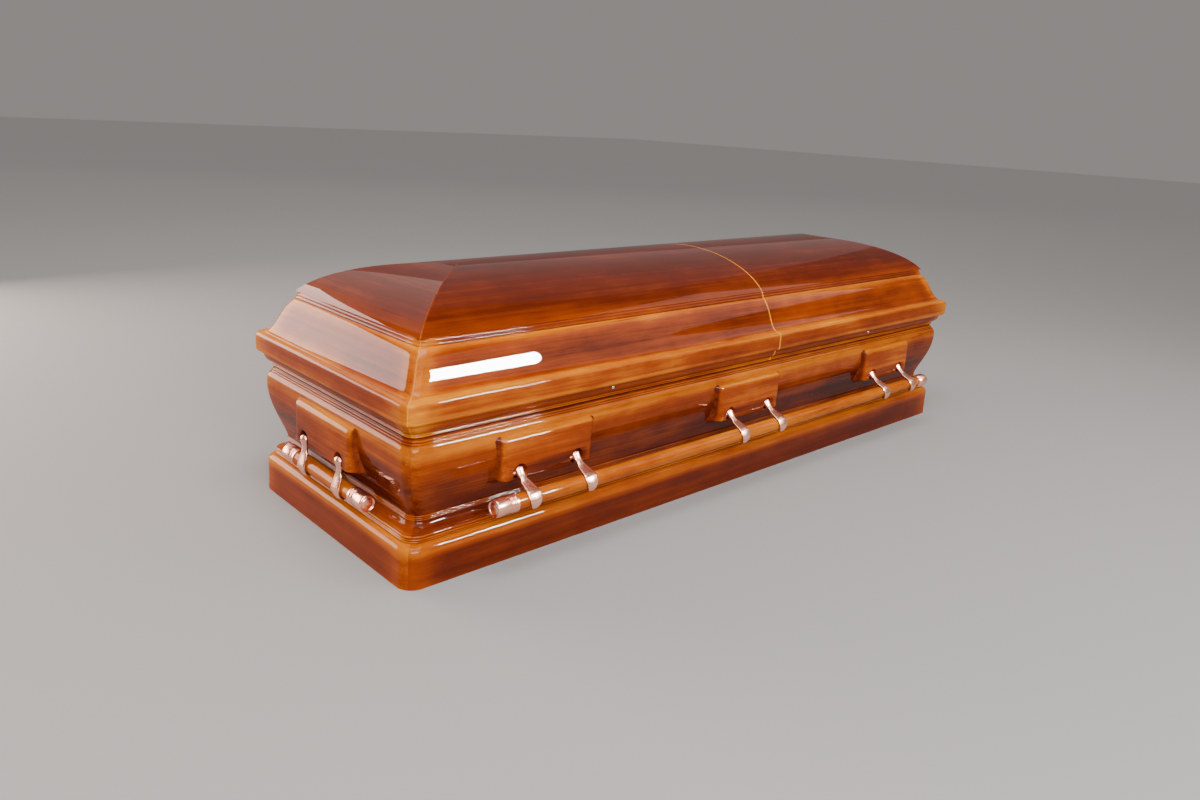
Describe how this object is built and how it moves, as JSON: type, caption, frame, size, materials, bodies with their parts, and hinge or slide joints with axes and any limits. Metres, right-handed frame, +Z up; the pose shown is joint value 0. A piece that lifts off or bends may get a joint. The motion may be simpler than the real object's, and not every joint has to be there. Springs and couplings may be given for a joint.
{
  "type": "wooden coffin",
  "caption": "Lacquered wooden coffin with an urn-shaped body, a hipped barrel lid hinged in halves, and swinging bar handles with copper arms.",
  "frame": {"origin": "on the floor under the middle of the base", "axes": "+X along the coffin from the foot end to the head end, -Y out of the front long side, +Z up"},
  "size_m": [2.149, 0.8212, 0.588],
  "materials": {
    "plinth_wood": "amber stained wood under clear high-gloss lacquer",
    "body_wood": "red-brown stained wood under clear high-gloss lacquer",
    "rim_wood": "amber stained moulding under clear high-gloss lacquer",
    "crown_wood": "dark red-brown stained wood under clear high-gloss lacquer",
    "bar_wood": "amber stained turned wood under clear high-gloss lacquer",
    "copper": "polished copper plate",
    "hinge_brass": "satin brass",
    "catch_chrome": "bright chrome"
  },
  "bodies": {
    "body": {"bottom_board": "plinth_wood", "front_base_rail": "plinth_wood", "back_base_rail": "plinth_wood", "foot_base_rail": "plinth_wood", "head_base_rail": "plinth_wood", "front_wall": "body_wood", "back_wall": "body_wood", "foot_wall": "body_wood", "head_wall": "body_wood", "front_foot_block": "body_wood", "front_middle_block": "body_wood", "front_head_block": "body_wood", "back_foot_block": "body_wood", "back_middle_block": "body_wood", "back_head_block": "body_wood", "foot_end_block": "body_wood", "head_end_block": "body_wood", "body_hinge_leaf": "hinge_brass"},
    "front_handle": {"front_bar": "bar_wood", "front_bar_foot_cap": "copper", "front_bar_head_cap": "copper", "front_arm_1": "copper", "front_arm_2": "copper", "front_arm_3": "copper", "front_arm_4": "copper", "front_arm_5": "copper", "front_arm_6": "copper"},
    "back_handle": {"back_bar": "bar_wood", "back_bar_foot_cap": "copper", "back_bar_head_cap": "copper", "back_arm_1": "copper", "back_arm_2": "copper", "back_arm_3": "copper", "back_arm_4": "copper", "back_arm_5": "copper", "back_arm_6": "copper"},
    "foot_handle": {"foot_bar": "bar_wood", "foot_bar_front_cap": "copper", "foot_bar_back_cap": "copper", "foot_arm_1": "copper", "foot_arm_2": "copper"},
    "head_handle": {"head_bar": "bar_wood", "head_bar_front_cap": "copper", "head_bar_back_cap": "copper", "head_arm_1": "copper", "head_arm_2": "copper"},
    "foot_lid": {"foot_lid_front_rim": "rim_wood", "foot_lid_back_rim": "rim_wood", "foot_lid_end_rim": "rim_wood", "foot_lid_crown": "crown_wood", "foot_lid_hip": "crown_wood", "foot_lid_hinge_leaf": "hinge_brass", "foot_lid_catch": "catch_chrome"},
    "head_lid": {"head_lid_front_rim": "rim_wood", "head_lid_back_rim": "rim_wood", "head_lid_end_rim": "rim_wood", "head_lid_crown": "crown_wood", "head_lid_hip": "crown_wood", "head_lid_hinge_leaf": "hinge_brass", "head_lid_catch": "catch_chrome"}
  },
  "joints": [
    {"name": "front_handle_swing", "type": "hinge", "parent": "body", "child": "front_handle", "pos_m": [0, -0.339, 0.1975], "axis": [-1, 0, 0], "range_deg": [0, 50]},
    {"name": "back_handle_swing", "type": "hinge", "parent": "body", "child": "back_handle", "pos_m": [0, 0.339, 0.1975], "axis": [1, 0, 0], "range_deg": [0, 50]},
    {"name": "foot_handle_swing", "type": "hinge", "parent": "body", "child": "foot_handle", "pos_m": [-1.054, 0, 0.1975], "axis": [0, 1, 0], "range_deg": [0, 95]},
    {"name": "head_handle_swing", "type": "hinge", "parent": "body", "child": "head_handle", "pos_m": [1.054, 0, 0.1975], "axis": [0, -1, 0], "range_deg": [0, 95]},
    {"name": "foot_lid_hinge", "type": "hinge", "parent": "body", "child": "foot_lid", "pos_m": [-0.4, 0.329, 0.3136], "axis": [-1, 0, 0], "range_deg": [0, 80]},
    {"name": "head_lid_hinge", "type": "hinge", "parent": "body", "child": "head_lid", "pos_m": [0.5, 0.329, 0.3136], "axis": [-1, 0, 0], "range_deg": [0, 80]}
  ]
}
